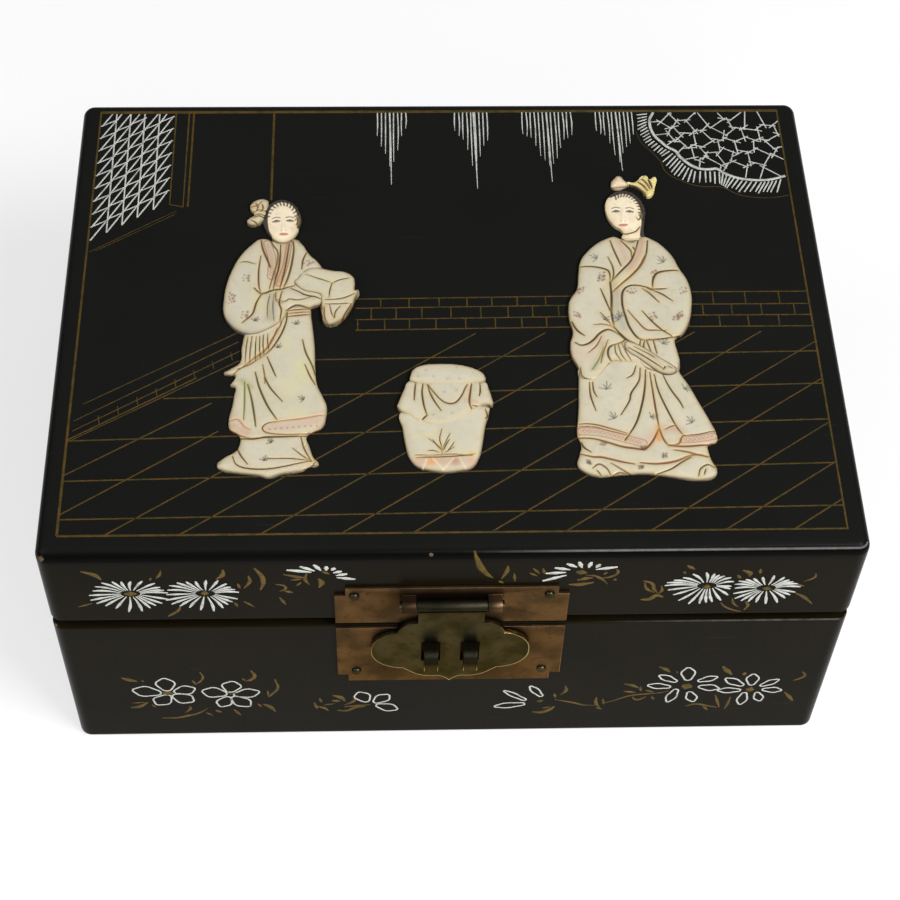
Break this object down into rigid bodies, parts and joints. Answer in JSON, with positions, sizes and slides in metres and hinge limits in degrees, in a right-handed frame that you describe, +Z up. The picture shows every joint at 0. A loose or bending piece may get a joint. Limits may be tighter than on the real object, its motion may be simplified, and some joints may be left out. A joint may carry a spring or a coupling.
{
  "type": "lacquer jewelry box",
  "caption": "Low rectangular wooden jewelry box in black lacquer with carved figures on a hinged lid, a cloud-shaped hasp over staples, a lift-out tray and a mirror",
  "frame": {"origin": "centre of the base's underside, on the surface the box stands on", "axes": "+X along the front to the right as seen from the front, +Y from the clasp to the hinges, +Z up"},
  "size_m": [0.2, 0.158, 0.0917],
  "materials": {
    "black_lacquer": "glossy black lacquer on softwood, lightly worn",
    "red_silk_board": "thin boards faced with red silk",
    "red_lacquer": "glossy red lacquer on wood",
    "red_silk_pad": "padded red silk",
    "silk_ribbon": "woven silk ribbon",
    "looking_glass": "silvered glass",
    "copper_plate": "copper-toned brass with brown tarnish",
    "aged_brass": "olive-brown aged brass, bright along worn edges",
    "hinge_brass": "dull yellow brass",
    "carved_stone": "polished cream stone with painted lines and tints",
    "carved_face": "polished pale stone with painted hair and features",
    "gold_paint": "thin dull gold lacquer paint on the black lacquer",
    "white_paint": "thin white paint on the black lacquer"
  },
  "bodies": {
    "box": {"box_back_board": "black_lacquer", "box_base_panel": "black_lacquer", "box_floor_pad": "red_silk_pad", "box_front_board": "black_lacquer", "box_left_board": "black_lacquer", "box_lining_back": "red_silk_board", "box_lining_front": "red_silk_board", "box_lining_left": "red_silk_board", "box_lining_right": "red_silk_board", "box_right_board": "black_lacquer", "clasp_lower_plate": "copper_plate", "clasp_nails_box": "aged_brass", "clasp_staples": "aged_brass", "hinge_left_box_leaf": "hinge_brass", "hinge_left_pin": "hinge_brass", "hinge_right_box_leaf": "hinge_brass", "hinge_right_pin": "hinge_brass", "hinge_screws_box": "hinge_brass", "tray_rests": "red_silk_board"},
    "lid": {"attendant_hair_flower": "carved_stone", "attendant_head": "carved_face", "attendant_jacket": "carved_stone", "attendant_parcel": "carved_stone", "attendant_skirt": "carved_stone", "clasp_hasp_pin": "aged_brass", "clasp_nails_lid": "aged_brass", "clasp_upper_plate": "copper_plate", "hinge_left_lid_leaf": "hinge_brass", "hinge_right_lid_leaf": "hinge_brass", "hinge_screws_lid": "hinge_brass", "lady_hair_ornaments": "carved_stone", "lady_head": "carved_face", "lady_robe": "carved_stone", "lady_scroll": "carved_stone", "lady_skirt": "carved_stone", "lid_back_board": "black_lacquer", "lid_front_board": "black_lacquer", "lid_left_board": "black_lacquer", "lid_lining_back": "red_silk_board", "lid_lining_front": "red_silk_board", "lid_lining_left": "red_silk_board", "lid_lining_right": "red_silk_board", "lid_mirror": "looking_glass", "lid_mirror_frame": "red_lacquer", "lid_right_board": "black_lacquer", "lid_top_panel": "black_lacquer", "stool_cloth": "carved_stone", "stool_cushion": "carved_stone", "stool_drum": "carved_stone"},
    "hasp": {"clasp_hasp": "aged_brass"},
    "tray": {"tray_back_wall": "red_lacquer", "tray_cross_divider": "red_lacquer", "tray_floor": "red_lacquer", "tray_front_wall": "red_lacquer", "tray_left_wall": "red_lacquer", "tray_long_divider": "red_lacquer", "tray_pull_tabs": "silk_ribbon", "tray_right_wall": "red_lacquer", "tray_ring_rolls": "red_silk_pad", "tray_short_divider": "red_lacquer"}
  },
  "joints": [
    {"name": "lid_hinge", "type": "hinge", "parent": "box", "child": "lid", "pos_m": [0, 0.074, 0.059], "axis": [-1, 0, 0], "range_deg": [0, 97]},
    {"name": "hasp_swing", "type": "hinge", "parent": "lid", "child": "hasp", "pos_m": [-0.0005, -0.0783, 0.0706], "axis": [-1, 0, 0], "range_deg": [0, 175]},
    {"name": "tray_lift", "type": "slide", "parent": "box", "child": "tray", "axis": [0, 0, 1], "range_m": [0, 0.022]}
  ]
}
